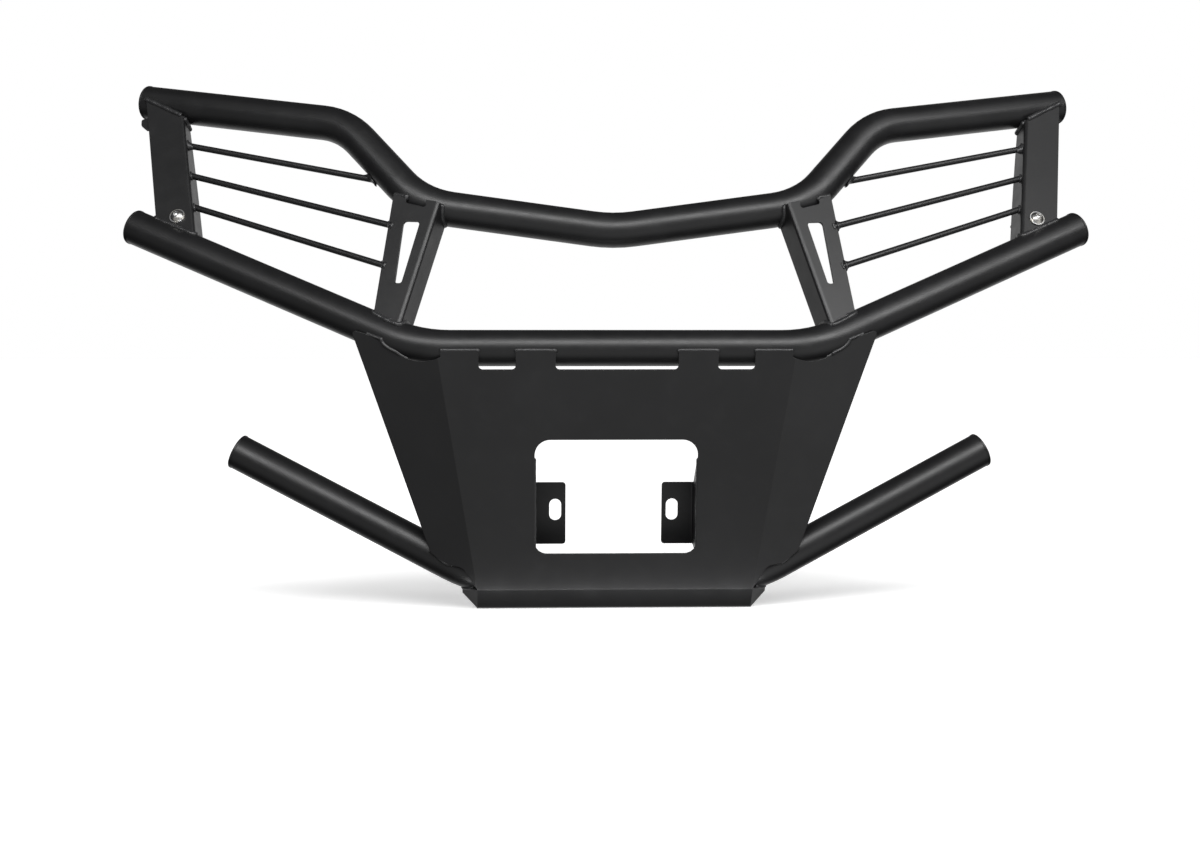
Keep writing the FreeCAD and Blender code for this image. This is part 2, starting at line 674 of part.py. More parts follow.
def button_screw(seat, direction, screw):
    """A screw standing on a seat: domed head, hex socket, thin neck, threaded end."""
    dome_r = (screw.head_r ** 2 + screw.head_h ** 2) / (2 * screw.head_h)
    dome = Part.makeSphere(dome_r, seat + direction * (screw.head_h - dome_r))
    head = Part.makeCylinder(screw.head_r, screw.head_h, seat, direction).common(dome)
    socket_r = screw.hex_width / math.sqrt(3)
    side = unit(direction.cross(V(1, 0, 0)))
    corners = [FreeCAD.Rotation(direction, 60 * i).multVec(side) * socket_r for i in range(6)]
    floor = seat + direction * (screw.head_h * SOCKET_FLOOR)
    head = head.cut(prism([floor + corner for corner in corners], direction * screw.head_h))
    neck = Part.makeCylinder(screw.neck_r, screw.length, seat, direction * -1)
    tip = seat - direction * screw.length
    thread = Part.makeCylinder(screw.thread_r, screw.thread_length, tip, direction)
    tip_edges = [e for e in thread.Edges if (e.CenterOfMass - tip).Length < NEAR]
    thread = thread.makeChamfer(screw.thread_r * THREAD_CHAMFER, tip_edges)
    return head.fuse([neck, thread]).removeSplitter()


def wing_bolt_and_washer(wing):
    """The M10 bolt through the wing slot and the ear, and the washer under its head."""
    seat = wing.spot(0, 0, SHEET + GAP)
    ring = washer(seat, wing.front, M10_WASHER_R, M10, M10_WASHER_T)
    bolt = button_screw(seat + wing.front * M10_WASHER_T, wing.front, M10)
    return bolt, ring


def bracket_screws_and_washers(wing):
    """The two M6 screws of one bracket and their washers."""
    screws = []
    rings = []
    for seat, direction in screw_seats(wing):
        rings.append(washer(seat, direction, M6_WASHER_R, M6, M6_WASHER_T))
        screws.append(button_screw(seat + direction * M6_WASHER_T, direction, M6))
    return Part.makeCompound(screws), Part.makeCompound(rings)


# ---- the whole guard ----
def build():
    """Every piece by name, in the main tube's frame."""
    hoop_env, hoop = bent_tube([HOOP_CENTRE, HOOP_LOW_BEND, HOOP_HIGH_BEND, HOOP_END],
                               [CENTRE_BEND_R, HOOP_BEND_R, HOOP_BEND_R, 0])
    main_env, main = bent_tube([MAIN_BEND, MAIN_END], [BEND_R, 0])
    lower_env, lower = bent_tube([LOWER_BEND, LOWER_END], [BEND_R, 0])
    envelopes = [hoop_env, main_env, lower_env]
    wing = WingFrame()
    front = skid_front_plane()
    upright_piece = upright(envelopes)
    wing_piece = wing_plate(wing, envelopes)
    bolt, bolt_washer = wing_bolt_and_washer(wing)
    screws, screw_washers = bracket_screws_and_washers(wing)
    rod_upper, rod_middle, rod_lower = rods(wing, upright_piece, wing_piece, hoop_env)

    pieces = {"hoop_tube": hoop, "main_tube": main, "lower_tube": lower,
              "skid_plate": skid_plate(front, envelopes)}
    right = {"hoop_cap": end_cap(HOOP_END, HOOP_END - HOOP_HIGH_BEND),
             "main_cap": end_cap(MAIN_END, MAIN_END - MAIN_BEND),
             "lower_cap": end_cap(LOWER_END, LOWER_END - LOWER_BEND),
             "window_bracket": window_bracket(front),
             "upright": upright_piece,
             "wing_plate": wing_piece,
             "rod_upper": rod_upper,
             "rod_middle": rod_middle,
             "rod_lower": rod_lower,
             "bracket_saddle": bracket_saddle(wing),
             "bracket_arm": bracket_arm(wing),
             "wing_bolt": bolt,
             "wing_washer": bolt_washer,
             "bracket_screws": screws,
             "bracket_washers": screw_washers}
    for name, shape in right.items():
        pieces[name + "_right"] = shape
        pieces[name + "_left"] = mirrored(shape)
    pieces["rear_tab_left"] = mirrored(rear_tab(wing, hoop_env))
    return pieces


def to_part_frame(front):
    """The move that puts the origin at the centre of the skid plate's underside."""
    low = lip_corners(front)[1]
    return V(0, -(low.y + FLOOR_DEPTH / 2), -low.z)


def export(pieces):
    """Write one STEP file for each piece."""
    os.makedirs("parts", exist_ok=True)
    move = to_part_frame(skid_front_plane())
    for name, shape in pieces.items():
        moved = shape.copy()
        moved.translate(move)
        moved.exportStep("parts/" + name + ".step")


export(build())
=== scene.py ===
"""The looks of the front grille guard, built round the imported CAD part.

The CAD sheets and tubes are shown as they are, in satin black powder coat.  Weld beads
are grown along every seam where two welded pieces touch, the screws are rebuilt with
real threads and hex sockets, and everything stands on a plain pale floor.
"""

import json
import math

import bmesh
import bpy
from mathutils import Matrix, Vector, noise
from mathutils.bvhtree import BVHTree


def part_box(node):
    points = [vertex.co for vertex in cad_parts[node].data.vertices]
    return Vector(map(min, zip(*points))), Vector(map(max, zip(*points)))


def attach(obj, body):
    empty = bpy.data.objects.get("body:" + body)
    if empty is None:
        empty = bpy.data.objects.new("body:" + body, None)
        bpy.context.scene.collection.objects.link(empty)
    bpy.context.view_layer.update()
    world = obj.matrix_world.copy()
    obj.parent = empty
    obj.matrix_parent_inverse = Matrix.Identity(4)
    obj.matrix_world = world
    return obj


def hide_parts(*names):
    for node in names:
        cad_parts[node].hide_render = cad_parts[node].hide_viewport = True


MM = 0.001

# ---- reading the CAD meshes: corners closer than this are one corner ----
SPLIT_CORNER = 0.002 * MM
SAME_CORNER = 0.01 * MM
SAME_END = 0.05 * MM

# ---- weld beads: the seams they follow; a slope is an edge's rise over its length ----
SEAM_ANGLE = math.radians(25)
SHORTEST_BEAD = 6 * MM
CLOSE_REACH = 0.6 * MM
SKID_REACH = 1.0 * MM
LAP_REACH = 2.0 * MM
WING_TOP_REACH = 13 * MM
WING_TOP_STEEPEST = 0.5
ANY_SLOPE = 1.1

# ---- weld beads: thickness, and shares of it for ripples, lumps and wander; the seed
# keeps the wander the same each time ----
SKID_BEAD = 2.4 * MM
SHEET_BEAD = 3.3 * MM
THIN_BEAD = 1.8 * MM
BEAD_STEP = 0.65 * MM
BEAD_SIDES = 10
BEAD_LEAST = 0.88
BEAD_RIPPLE = 0.14
BEAD_LUMP = 0.16
BEAD_WANDER = 0.12
BEAD_TIP = 0.6
RIPPLE_LENGTH = 2.8 * MM
LUMPS_PER_METRE = 160.0
WANDERS_PER_METRE = 90.0
NOISE_SEED = 1

# ---- cone-shaped welds at the rods' ends: (out, along) in shares of the weld's leg ----
ROD_LEG = 3.8 * MM
ROD_LUMP = 0.3
ROD_OUTLINE = [(-0.4, -0.15), (1.0, -0.15), (0.95, 0.1), (0.5, 0.5), (0.2, 1.1), (0.02, 1.8),
               (-0.3, 1.8)]

# ---- screws: sizes not stated by the record's thread mounts ----
SCREWS = {"M10": {"length": 25.0, "thread": 16.0, "neck": 4.5, "head": 8.75, "height": 5.0,
                  "hex": 6.0, "pitch": 1.5},
          "M6": {"length": 16.0, "thread": 11.0, "neck": 2.65, "head": 5.25, "height": 3.3,
                 "hex": 4.0, "pitch": 1.0}}
LATHE_SIDES = 48
DOME_STEPS = 10
CREASE_ANGLE = math.radians(40)

# ---- screws: socket and crown in shares of the head's height, flat in shares of the
# socket's width, edges in millimetres, thread in shares of the pitch ----
SOCKET_FLOOR = 0.35
SOCKET_RIM = 0.97
CROWN = 0.985
FLAT_ROUND_SOCKET = 1.25
HEAD_EDGE = 0.35
HEAD_CHAMFER = 0.1
THREAD_DEPTH = 0.61
THREAD_RUN_OUT = 0.8
THREAD_LEAD_IN = 0.5
THREAD_FADE = 0.55
STEPS_PER_PITCH = 8

# ---- camera, from the main tube's centre ----
CAMERA_OFFSET = Vector((-0.1265, -2.4968, 0.0113))
AIM_OFFSET = Vector((-0.0200, 0.0, -0.0929))
LENS_MM = 61.3
TUBE_RADIUS = 22.25 * MM

# ---- studio: patches of room light as (azimuth, elevation, spread, strength) ----
KEY_PLACE = Vector((0.25, -1.5, 1.2))
KEY_SIZE = (4.4, 0.6)
KEY_WATTS = 74.0
ROOM_LEVEL = 0.03
ROOM_PATCHES = [(0, -18, 30, 0.35), (0, -45, 24, 0.5), (-44, -22, 30, 0.35), (44, -22, 34, 0.75),
                (180, -40, 45, 0.8), (150, 0, 40, 0.8), (-150, 0, 40, 0.8), (48, 48, 22, 1.3),
                (-60, 53, 20, 0.3)]
GLINT_PLACE = Vector((0.0, -0.063, 0.003))
GLINT_SIZE = (0.40, 0.008)
GLINT_WATTS = 0.11
FLOOR_GLOW = 0.5
FLOOR_HALF = 30.0
FLOOR_DROP = 0.2 * MM

# ---- finishes: plain and worn colours, grain, and least roughness ----
COAT_COLOUR = (0.009, 0.009, 0.0095)
COAT_WORN = (0.045, 0.045, 0.046)
# the welds' plain colour is lighter than the coat's: painted highlight for the sparkle on their
# rough beads
WELD_SHEEN_COLOUR = (0.024, 0.024, 0.025)
WELD_WORN = (0.06, 0.06, 0.06)
COAT_GRAIN = 1.0
WELD_GRAIN = 1.6
COAT_SMOOTHEST = 0.35
WELD_SMOOTHEST = 0.27

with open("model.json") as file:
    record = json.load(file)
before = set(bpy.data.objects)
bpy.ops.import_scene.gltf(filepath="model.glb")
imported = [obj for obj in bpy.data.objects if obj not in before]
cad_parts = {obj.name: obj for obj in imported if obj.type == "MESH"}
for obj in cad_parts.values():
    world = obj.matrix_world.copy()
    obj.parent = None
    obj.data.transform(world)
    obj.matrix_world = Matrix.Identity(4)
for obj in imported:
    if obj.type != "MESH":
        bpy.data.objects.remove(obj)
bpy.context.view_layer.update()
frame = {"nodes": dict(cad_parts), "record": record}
noise.seed_set(NOISE_SEED)


# ---- node helpers ----
class Nodes:
    """A thin wrapper that makes shader nodes and joins them in one call."""

    def __init__(self, tree):
        self.tree = tree
        tree.nodes.clear()

    def add(self, kind, inputs=None, **settings):
        """A node with its settings and inputs; an input may be a value or a socket."""
        node = self.tree.nodes.new(kind)
        for name, value in settings.items():
            setattr(node, name, value)
        for name, value in (inputs or {}).items():
            socket = node.inputs[name]
            if isinstance(value, bpy.types.NodeSocket):
                self.tree.links.new(value, socket)
            else:
                socket.default_value = value
        return node

    def noise(self, place, scale, detail=2.0, roughness=0.5):
        """A noise pattern's factor; scale is in cells to the metre."""
        node = self.add("ShaderNodeTexNoise", {"Vector": place, "Scale": scale,
                                               "Detail": detail, "Roughness": roughness})
        return node.outputs["Fac"]

    def spread(self, value, low, high, start=0.0, end=1.0):
        """The value, spread from start..end to low..high."""
        node = self.add("ShaderNodeMapRange", {"Value": value, "From Min": start, "From Max": end,
                                               "To Min": low, "To Max": high})
        return node.outputs["Result"]

    def mix(self, factor, first, second):
        """Two colours mixed by a factor."""
        node = self.add("ShaderNodeMix", data_type="RGBA")
        for index, value in ((0, factor), (6, first), (7, second)):
            if isinstance(value, bpy.types.NodeSocket):
                self.tree.links.new(value, node.inputs[index])
            else:
                node.inputs[index].default_value = value
        return node.outputs[2]

    def math(self, operation, first, second=0.0):
        """A sum, product or other operation of two values."""
        node = self.add("ShaderNodeMath", {0: first, 1: second}, operation=operation)
        return node.outputs[0]


def new_material(name):
    """An empty node material and its wrapper."""
    material = bpy.data.materials.new(name)
    material.use_nodes = True
    return material, Nodes(material.node_tree)


def edge_mask(nodes, radius):
    """One on sharp outer edges, zero on flats, from how far a rounded normal turns."""
    rounded = nodes.add("ShaderNodeBevel", {"Radius": radius}, samples=6)
    plain = nodes.add("ShaderNodeNewGeometry")
    same = nodes.add("ShaderNodeVectorMath", {0: rounded.outputs["Normal"],
                                              1: plain.outputs["Normal"]},
                     operation="DOT_PRODUCT")
    return nodes.spread(same.outputs["Value"], 1.0, 0.0, 0.80, 0.995), rounded.outputs["Normal"]


def shade_of(colour, share=1.0):
    """A colour with its brightness scaled, as a shader input."""
    return tuple(channel * share for channel in colour) + (1,)


def powder_coat(name, base, worn, grain, smoothest):
    """Satin black powder coat: fine grain, orange peel, faint dust and paler edges."""
    material, nodes = new_material(name)
    place = nodes.add("ShaderNodeTexCoord").outputs["Object"]
    broad = nodes.noise(place, 7.0, 3.0)
    cloud = nodes.noise(place, 45.0, 4.0, 0.6)
    fine = nodes.noise(place, 900.0, 2.0, 0.6)
    peel = nodes.noise(place, 260.0, 1.0)
    edge, rounded = edge_mask(nodes, 0.9 * MM)
    shade = nodes.mix(nodes.spread(broad, 0.0, 1.0, 0.3, 0.7), shade_of(base, 0.82),
                      shade_of(base, 1.22))
    dusty = nodes.mix(nodes.spread(cloud, 0.0, 0.30, 0.55, 0.85), shade, shade_of(base, 1.9))
    wear = nodes.math("MULTIPLY", edge, nodes.spread(cloud, 0.25, 0.8, 0.35, 0.65))
    colour = nodes.mix(wear, dusty, shade_of(worn))
    rough = nodes.math("ADD", nodes.spread(cloud, smoothest, smoothest + 0.08, 0.3, 0.7),
                       nodes.spread(fine, -0.03, 0.05, 0.3, 0.7))
    height = nodes.math("ADD", nodes.math("MULTIPLY", fine, 0.55 * grain),
                        nodes.math("MULTIPLY", peel, 0.45 * grain))
    bump = nodes.add("ShaderNodeBump", {"Strength": 0.22, "Distance": 0.12 * MM,
                                        "Height": height, "Normal": rounded})
    surface = nodes.add("ShaderNodeBsdfPrincipled", {
        "Base Color": colour, "Roughness": rough, "Normal": bump.outputs["Normal"],
        "Specular IOR Level": 0.5})
    nodes.add("ShaderNodeOutputMaterial", {"Surface": surface.outputs["BSDF"]})
    return material


def zinc_plate():
    """Bright zinc plate: faint bluish and straw clouds, brushed grain, brighter edges."""
    material, nodes = new_material("zinc_plate_look")
    place = nodes.add("ShaderNodeTexCoord").outputs["Object"]
    cloud = nodes.noise(place, 160.0, 3.0)
    fine = nodes.noise(place, 1400.0, 2.0, 0.6)
    edge, rounded = edge_mask(nodes, 0.3 * MM)
    tint = nodes.mix(nodes.spread(cloud, 0.0, 1.0, 0.35, 0.65), (0.50, 0.51, 0.53, 1),
                     (0.62, 0.60, 0.55, 1))
    colour = nodes.mix(edge, tint, (0.78, 0.78, 0.77, 1))
    rough = nodes.spread(fine, 0.24, 0.42, 0.3, 0.7)
    bump = nodes.add("ShaderNodeBump", {"Strength": 0.15, "Distance": 0.05 * MM, "Height": fine,
                                        "Normal": rounded})
    surface = nodes.add("ShaderNodeBsdfPrincipled", {
        "Base Color": colour, "Roughness": rough, "Metallic": 1.0,
        "Normal": bump.outputs["Normal"]})
    nodes.add("ShaderNodeOutputMaterial", {"Surface": surface.outputs["BSDF"]})
    return material


def floor_paint():
    """A plain pale studio floor that glows up to plain white away from the guard."""
    material, nodes = new_material("studio_floor_look")
    place = nodes.add("ShaderNodeTexCoord").outputs["Object"]
    cloud = nodes.noise(place, 3.0, 3.0)
    colour = nodes.mix(nodes.spread(cloud, 0.0, 1.0, 0.3, 0.7), (0.90, 0.90, 0.90, 1),
                       (0.93, 0.93, 0.93, 1))
    surface = nodes.add("ShaderNodeBsdfPrincipled", {"Base Color": colour, "Roughness": 0.8,
                                                     "Specular IOR Level": 0.1})
    distance = nodes.add("ShaderNodeVectorMath", {0: place}, operation="LENGTH").outputs["Value"]
    far = nodes.spread(distance, FLOOR_GLOW, 1.0, 0.4, 0.9)
    glow = nodes.add("ShaderNodeEmission", {"Color": (1, 1, 1, 1), "Strength": far})
    total = nodes.add("ShaderNodeAddShader", {0: surface.outputs["BSDF"],
                                              1: glow.outputs["Emission"]})
    nodes.add("ShaderNodeOutputMaterial", {"Surface": total.outputs["Shader"]})
    return material


# ---- meshes ----
def mesh_object(name, vertices, faces, material, smooth=True):
    """A new mesh object in the scene, with its normals facing out."""
    mesh = bpy.data.meshes.new(name)
    mesh.from_pydata([tuple(v) for v in vertices], [], faces)
    form = bmesh.new()
    form.from_mesh(mesh)
    bmesh.ops.recalc_face_normals(form, faces=form.faces)
    form.to_mesh(mesh)
    form.free()
    mesh.materials.append(material)
    for polygon in mesh.polygons:
        polygon.use_smooth = smooth
    piece = bpy.data.objects.new(name, mesh)
    bpy.context.scene.collection.objects.link(piece)
    return piece


def frame_form(node):
    """A CAD node's mesh with its split corners joined, for reading only."""
    form = bmesh.new()
    form.from_mesh(frame["nodes"][node].data)
    bmesh.ops.remove_doubles(form, verts=form.verts, dist=SPLIT_CORNER)
    return form


# ---- seams and beads ----
def seam_edges(node, tree, reach, steepest):
    """The sharp edges of a node within reach of another piece, and no steeper than a share."""
    form = frame_form(node)
    edges = []
    for edge in form.edges:
        if len(edge.link_faces) != 2 or edge.calc_face_angle(0) < SEAM_ANGLE:
            continue
        start, end = (v.co.copy() for v in edge.verts)
        if abs((end - start).normalized().z) > steepest:
            continue
        spots = (start, end, (start + end) / 2)
        if all(tree.find_nearest(spot)[3] < reach for spot in spots):
            edges.append((start, end))
    form.free()
    return edges


def spot_key(point):
    """A point rounded so that edges sharing a corner find each other."""
    return tuple(round(c / SAME_CORNER) for c in point)


def chains(edges):
    """The edges joined end to end into lists of points; a closed loop repeats its start."""
    places = {}
    around = {}
    for start, end in edges:
        keys = spot_key(start), spot_key(end)
        if keys[0] == keys[1]:
            continue
        for key, point in zip(keys, (start, end)):
            places.setdefault(key, point)
        around.setdefault(keys[0], set()).add(keys[1])
        around.setdefault(keys[1], set()).add(keys[0])
    result = []
    ends_first = sorted(around, key=lambda key: (len(around[key]) == 2, key))
    for first in ends_first:
        while around[first]:
            walk = [first]
            here = first
            while around[here]:
                following = min(around[here], key=lambda key: turn(places, walk, key))
                around[here].discard(following)
                around[following].discard(here)
                walk.append(following)
                here = following
                if len(around[here]) > 1:
                    break
            result.append([places[key] for key in walk])
    return result


def turn(places, walk, key):
    """How sharply the walk would turn at its last point to go on to the key."""
    if len(walk) < 2:
        return 0.0
    before = places[walk[-1]] - places[walk[-2]]
    after = places[key] - places[walk[-1]]
    return before.angle(after, 0.0)


def resampled(points, step):
    """Points at even steps along a chain."""
    lengths = [(b - a).length for a, b in zip(points, points[1:])]
    total = sum(lengths)
    count = max(4, round(total / step))
    result = []
    part = 0
    passed = 0.0
    for i in range(count + 1):
        goal = total * i / count
        while part < len(lengths) - 1 and passed + lengths[part] < goal:
            passed += lengths[part]
            part += 1
        share = (goal - passed) / lengths[part] if lengths[part] else 0.0
        result.append(points[part].lerp(points[part + 1], min(1.0, share)))
    return result


def eased(points, closed, rounds=2):
    """The points with their sharp corners eased by averaging neighbours."""
    count = len(points)
    for _ in range(rounds):
        old = points
        points = []
        for i, point in enumerate(old):
            if closed:
                back, ahead = old[(i - 1) % count], old[(i + 1) % count]
            elif 0 < i < count - 1:
                back, ahead = old[i - 1], old[i + 1]
            else:
                back = ahead = point
            points.append(point * 0.5 + (back + ahead) * 0.25)
    return points


def bead_radius(point, distance, radius):
    """The bead's thickness: overlapping ripples, with small irregular swellings."""
    phase = (distance / RIPPLE_LENGTH) % 1.0
    ripple = math.sqrt(max(0.0, 1.0 - (2.0 * phase - 1.0) ** 2))
    lump = noise.noise(point * LUMPS_PER_METRE)
    return radius * (BEAD_LEAST + BEAD_RIPPLE * ripple + BEAD_LUMP * lump)


def bead_rings(points, closed, radius):
    """Rings of vertices round a seam, carried along it without twisting."""
    count = len(points)
    rings = []
    side = None
    for i, point in enumerate(points):
        back = points[(i - 1) % count] if closed or i > 0 else point
        ahead = points[(i + 1) % count] if closed or i < count - 1 else point
        along = (ahead - back).normalized()
        if side is None:
            side = along.orthogonal().normalized()
        side = (side - along * side.dot(along)).normalized()
        across = along.cross(side)
        wander = noise.noise_vector(point * WANDERS_PER_METRE) * (BEAD_WANDER * radius)
        size = bead_radius(point, i * BEAD_STEP, radius)
        ring = []
        for k in range(BEAD_SIDES):
            angle = 2 * math.pi * k / BEAD_SIDES
            spoke = side * math.cos(angle) + across * math.sin(angle)
            ring.append(point + wander + spoke * size)
        rings.append(ring)
    return rings


def join_rings(rings, closed):
    """Vertices and faces of a tube through the rings, with rounded ends if it is open."""
    vertices = [v for ring in rings for v in ring]
    sides = len(rings[0])
    faces = []
    last = len(rings) if closed else len(rings) - 1
    for i in range(last):
        a = i * sides
        b = ((i + 1) % len(rings)) * sides
        for k in range(sides):
            n = (k + 1) % sides
            faces.append((a + k, a + n, b + n, b + k))
    if not closed:
        for ring, beyond, base in ((rings[0], rings[1], 0),
                                   (rings[-1], rings[-2], (len(rings) - 1) * sides)):
            centre = sum(ring, Vector()) / sides
            inward = (sum(beyond, Vector()) / sides - centre).normalized()
            size = (ring[0] - centre).length
            vertices.append(centre - inward * (BEAD_TIP * size))
            tip = len(vertices) - 1
            for k in range(sides):
                faces.append((base + k, base + (k + 1) % sides, tip))
    return vertices, faces


def offset_faces(faces, shift):
    """The faces with every vertex number moved up."""
    return [tuple(index + shift for index in face) for face in faces]


def piece_tree(node):
    """A search tree over a CAD node's surface."""
    form = frame_form(node)
    tree = BVHTree.FromBMesh(form)
    form.free()
    return tree


def rod_cone(loop, node):
    """Rings of a cone-shaped weld round a rod's end; the loop is its seam."""
    low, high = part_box(node)
    centre = sum(loop, Vector()) / len(loop)
    axis = ((low + high) / 2 - centre).normalized()
    rings = []
    for out, along in ROD_OUTLINE:
        ring = []
        for point in loop:
            spoke = point - centre
            spoke = (spoke - axis * spoke.dot(axis)).normalized()
            size = ROD_LEG * (1.0 + ROD_LUMP * noise.noise(point * LUMPS_PER_METRE))
            ring.append(point + (spoke * out + axis * along) * size)
        rings.append(ring)
    return rings


def seam_beads(node, other, radius, reach, steepest):
    """Vertices and faces of each bead along the seams between a node and a neighbour."""
    for chain in chains(seam_edges(node, piece_tree(other), reach, steepest)):
        length = sum((b - a).length for a, b in zip(chain, chain[1:]))
        if length < SHORTEST_BEAD:
            continue
        closed = (chain[0] - chain[-1]).length < SAME_END
        points = resampled(chain, BEAD_STEP)
        if closed:
            points = points[:-1]
        points = eased(points, closed)
        if closed and node.startswith("rod_"):
            yield join_rings(rod_cone(points, node), True)
        else:
            yield join_rings(bead_rings(points, closed, radius), closed)


def weld(name, node, others, radius, reach, body, material, steepest=ANY_SLOPE):
    """One object with the beads along all seams between a node and its neighbours."""
    vertices = []
    faces = []
    for other in others:
        for bead_vertices, bead_faces in seam_beads(node, other, radius, reach, steepest):
            faces += offset_faces(bead_faces, len(vertices))
            vertices += bead_vertices
    piece = mesh_object(name, vertices, faces, material)
    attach(piece, body)


def add_welds(material):
    """The beads of the whole guard, one object for each welded piece."""
    weld("weld_skid_plate", "skid_plate", ["main_tube", "lower_tube"], SKID_BEAD, SKID_REACH,
         "guard", material)
    for side in ("right", "left"):
        wing = "wing_plate_" + side
        upright = "upright_" + side
        seams = [("upright", ["main_tube", "hoop_tube"], SHEET_BEAD, LAP_REACH, "guard"),
                 ("wing_plate", ["main_tube"], SHEET_BEAD, LAP_REACH, "guard"),
                 ("window_bracket", ["skid_plate"], THIN_BEAD, CLOSE_REACH, "guard"),
                 ("rod_upper", ["hoop_tube", wing], THIN_BEAD, CLOSE_REACH, "guard"),
                 ("rod_middle", [upright, wing], THIN_BEAD, CLOSE_REACH, "guard"),
                 ("rod_lower", [upright, wing], THIN_BEAD, CLOSE_REACH, "guard"),
                 ("bracket_arm", ["bracket_saddle_" + side], THIN_BEAD, CLOSE_REACH,
                  side + "_bracket")]
        for stem, others, radius, reach, body in seams:
            weld("weld_%s_%s" % (stem, side), stem + "_" + side, others, radius, reach, body,
                 material)
        weld("weld_wing_top_" + side, wing, ["hoop_tube"], SHEET_BEAD, WING_TOP_REACH, "guard",
             material, WING_TOP_STEEPEST)
    weld("weld_rear_tab_left", "rear_tab_left", ["wing_plate_left"], THIN_BEAD, CLOSE_REACH,
         "guard", material)


# ---- screws ----
def lathe_rings(rows):
    """Rings for a list of (height, radius function of angle) rows, about the Z axis."""
    rings = []
    for height, radius in rows:
        ring = []
        for k in range(LATHE_SIDES):
            angle = 2 * math.pi * k / LATHE_SIDES
            size = radius(angle) * MM
            ring.append(Vector((size * math.cos(angle), size * math.sin(angle), height * MM)))
        rings.append(ring)
    return rings


def steady(radius):
    """A radius that is the same all round."""
    return lambda angle: radius


def hexagon(width):
    """The radius of a hexagon across flats of the given width."""
    def radius(angle):
        turned = (angle + math.pi / 6) % (math.pi / 3) - math.pi / 6
        return width / 2 / math.cos(turned)
    return radius


def thread(radius, pitch, height):
    """The radius of a helical thread at a height, as a function of the angle."""
    depth = THREAD_DEPTH * pitch

    def at(angle):
        phase = (height / pitch - angle / (2 * math.pi)) % 1.0
        ridge = min(1.0, max(0.0, 1.35 - abs(2 * phase - 1) * 1.6))
        return radius - depth * (1 - ridge)
    return at


def screw_rows(size, thread_radius):
    """The screw's outline from the floor of its socket, over the head, down to the tip."""
    head, height = size["head"], size["height"]
    dome = (head ** 2 + height ** 2) / (2 * height)
    flat = size["hex"] / 2 * FLAT_ROUND_SOCKET
    rows = [(height * SOCKET_FLOOR, hexagon(size["hex"])),
            (height * SOCKET_RIM, hexagon(size["hex"])), (height * CROWN, steady(flat))]
    for i in range(DOME_STEPS + 1):
        reach = flat + (head - flat) * math.sin(math.pi / 2 * i / DOME_STEPS)
        rise = math.sqrt(dome ** 2 - reach ** 2) - (dome - height)
        rows.append((max(HEAD_EDGE, rise * CROWN), steady(reach)))
    rows += [(HEAD_CHAMFER, steady(head)), (0.0, steady(head - HEAD_CHAMFER)),
             (0.0, steady(size["neck"]))]
    start = size["length"] - size["thread"]
    rows.append((-start + HEAD_CHAMFER, steady(size["neck"])))
    steps = round(size["thread"] / size["pitch"] * STEPS_PER_PITCH)
    for i in range(steps + 1):
        down = start + size["thread"] * i / steps
        taper = max(0.0, 1.0 - (size["length"] - down) / (THREAD_RUN_OUT * size["pitch"]))
        lead = max(0.0, 1.0 - (down - start) / (THREAD_LEAD_IN * size["pitch"]))
        ease = THREAD_FADE * size["pitch"] * max(taper, lead)
        rows.append((-down, thread(thread_radius - ease, size["pitch"], -down)))
    return rows


def screw(name, mount_name, size_name, body, node, material):
    """A threaded screw in place of a CAD one, set on the axis its thread mount states."""
    size = SCREWS[size_name]
    mount = next(m for m in frame["record"]["mounts"] if m["name"] == mount_name)
    outward = -Vector(mount["axis"])
    seat = Vector(mount["pos_m"]) + outward * ((size["length"] - size["thread"] / 2) * MM)
    rings = lathe_rings(screw_rows(size, mount["dims"]["r_mm"]))
    vertices, faces = join_rings(rings, False)
    place = Matrix.Translation(seat) @ outward.to_track_quat("Z", "Y").to_matrix().to_4x4()
    piece = mesh_object(name, [place @ v for v in vertices], faces, material)
    shade_by_angle(piece)
    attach(piece, body)
    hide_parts(node)
    return piece


def shade_by_angle(piece):
    """Smooth shading that breaks at sharp edges."""
    form = bmesh.new()
    form.from_mesh(piece.data)
    for edge in form.edges:
        edge.smooth = len(edge.link_faces) == 2 and edge.calc_face_angle(0) < CREASE_ANGLE
    form.to_mesh(piece.data)
    form.free()


def add_screws(material):
    """The M10 bolt and the two M6 screws of each side."""
    for side in ("right", "left"):
        screw("bolt_m10_" + side, side + "_bolt_thread", "M10", side + "_bolt",
              "wing_bolt_" + side, material)
        for place in ("shelf", "arm"):
            screw("screw_m6_%s_%s" % (place, side), "%s_%s_screw_thread" % (side, place), "M6",
                  side + "_bracket", "bracket_screws_" + side, material)


# ---- light, floor and camera ----
def area_light(name, place, aim, size, watts):
    """A soft rectangular studio light, aimed at a point and hidden from the camera."""
    light = bpy.data.lights.new(name, "AREA")
    light.shape = "RECTANGLE"
    light.size, light.size_y = size
    light.energy = watts
    lamp = bpy.data.objects.new(name, light)
    lamp.location = place
    lamp.rotation_mode = "QUATERNION"
    lamp.rotation_quaternion = (aim - place).to_track_quat("-Z", "Y")
    lamp.visible_camera = False
    bpy.context.scene.collection.objects.link(lamp)


def lobe(nodes, direction, azimuth, elevation, spread, strength):
    """A soft round patch of light in the world, fading out to its spread angle."""
    a, e = math.radians(azimuth), math.radians(elevation)
    middle = (math.sin(a) * math.cos(e), -math.cos(a) * math.cos(e), math.sin(e))
    near = nodes.add("ShaderNodeVectorMath", {0: direction, 1: middle}, operation="DOT_PRODUCT")
    patch = nodes.add("ShaderNodeMapRange", {
        "Value": near.outputs["Value"], "From Min": math.cos(math.radians(spread)), "From Max": 1.0,
        "To Min": 0.0, "To Max": strength}, interpolation_type="SMOOTHSTEP")
    return patch.outputs["Result"]


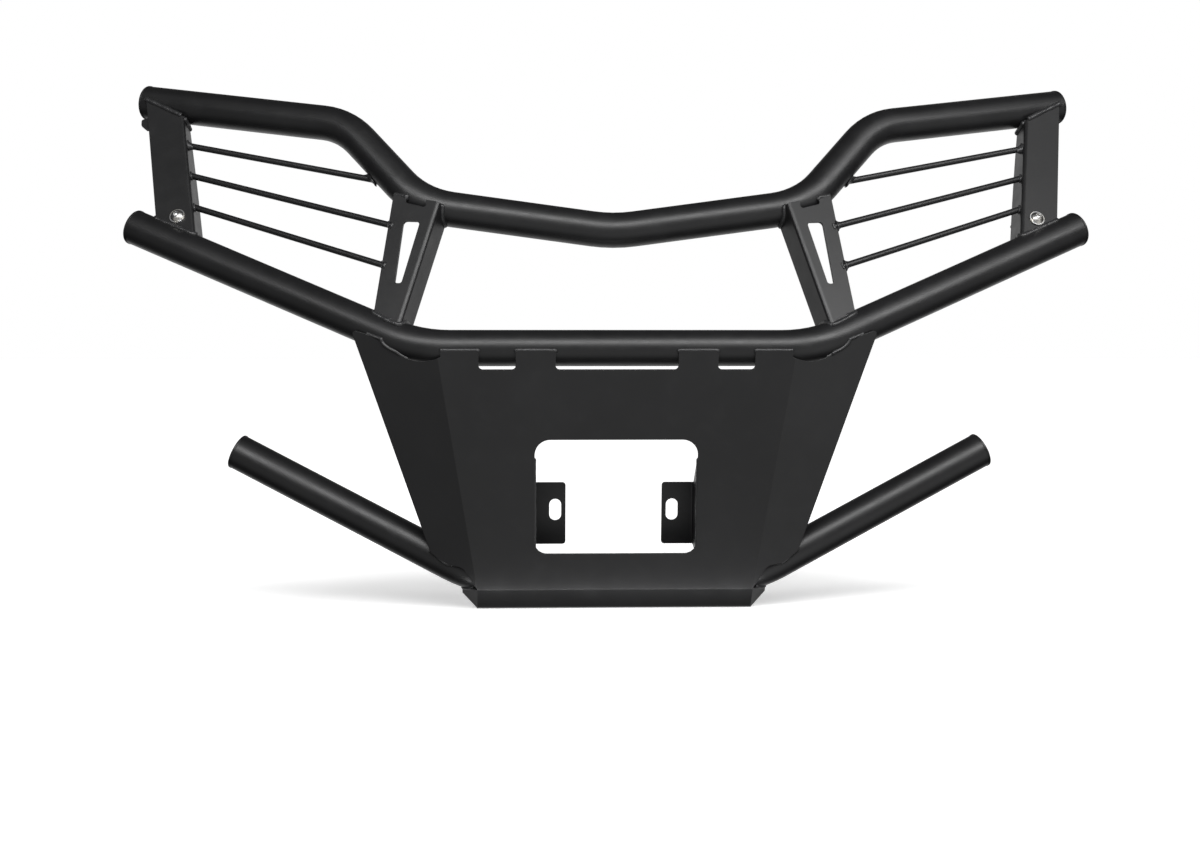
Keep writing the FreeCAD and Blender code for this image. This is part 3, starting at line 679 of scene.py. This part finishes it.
def studio_world():
    """White behind the guard; for lighting, a dim room with soft patches round it."""
    world = bpy.data.worlds.new("studio")
    world.use_nodes = True
    bpy.context.scene.world = world
    nodes = Nodes(world.node_tree)
    direction = nodes.add("ShaderNodeTexCoord").outputs["Generated"]
    room = ROOM_LEVEL
    for azimuth, elevation, spread, strength in ROOM_PATCHES:
        room = nodes.math("ADD", room, lobe(nodes, direction, azimuth, elevation, spread, strength))
    dim = nodes.add("ShaderNodeBackground", {"Color": (1, 1, 1, 1), "Strength": room})
    white = nodes.add("ShaderNodeBackground", {"Color": (1, 1, 1, 1), "Strength": 1.0})
    seen = nodes.add("ShaderNodeLightPath").outputs["Is Camera Ray"]
    both = nodes.add("ShaderNodeMixShader", {0: seen, 1: dim.outputs["Background"],
                                             2: white.outputs["Background"]})
    nodes.add("ShaderNodeOutputWorld", {"Surface": both.outputs["Shader"]})


def add_studio(centre):
    """The floor, the two lamps and the world round the guard."""
    corners = [(x * FLOOR_HALF, y * FLOOR_HALF, -FLOOR_DROP)
               for x, y in ((-1, -1), (1, -1), (1, 1), (-1, 1))]
    floor = mesh_object("studio_floor", corners, [(0, 1, 2, 3)], floor_paint(), smooth=False)
    floor.visible_glossy = False
    floor.visible_diffuse = False
    area_light("key_above", centre + KEY_PLACE, centre, KEY_SIZE, KEY_WATTS)
    area_light("floor_glint", GLINT_PLACE, GLINT_PLACE + Vector((0, 0.5, 1.0)), GLINT_SIZE,
               GLINT_WATTS)
    studio_world()


def main_tube_centre():
    """The middle of the main tube's straight centre run, on its axis."""
    low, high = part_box("main_tube")
    return Vector((0.0, low.y + TUBE_RADIUS, low.z + TUBE_RADIUS))


def add_camera(centre):
    """The camera, a little to the left of the guard and level with its main tube."""
    data = bpy.data.cameras.new("view")
    data.lens = LENS_MM
    camera = bpy.data.objects.new("view", data)
    camera.location = centre + CAMERA_OFFSET
    camera.rotation_mode = "QUATERNION"
    camera.rotation_quaternion = (AIM_OFFSET - CAMERA_OFFSET).to_track_quat("-Z", "Y")
    bpy.context.scene.collection.objects.link(camera)
    bpy.context.scene.camera = camera


# ---- the whole scene ----
def dress_frame(coat, zinc):
    """Give every CAD node its material."""
    for part in frame["record"]["subparts"]:
        mesh = frame["nodes"][part["node"]].data
        mesh.materials.clear()
        mesh.materials.append(zinc if part["material_slot"] == "zinc_plate" else coat)


coat = powder_coat("powder_coat_look", COAT_COLOUR, COAT_WORN, COAT_GRAIN, COAT_SMOOTHEST)
# the weld coat is the same satin black, with its base colour lightened as painted highlight
weld_coat = powder_coat("powder_coat_weld_look", WELD_SHEEN_COLOUR, WELD_WORN, WELD_GRAIN,
                        WELD_SMOOTHEST)
zinc = zinc_plate()
dress_frame(coat, zinc)
add_welds(weld_coat)
add_screws(zinc)
centre = main_tube_centre()
add_studio(centre)
add_camera(centre)
bpy.context.scene.view_settings.view_transform = "Standard"
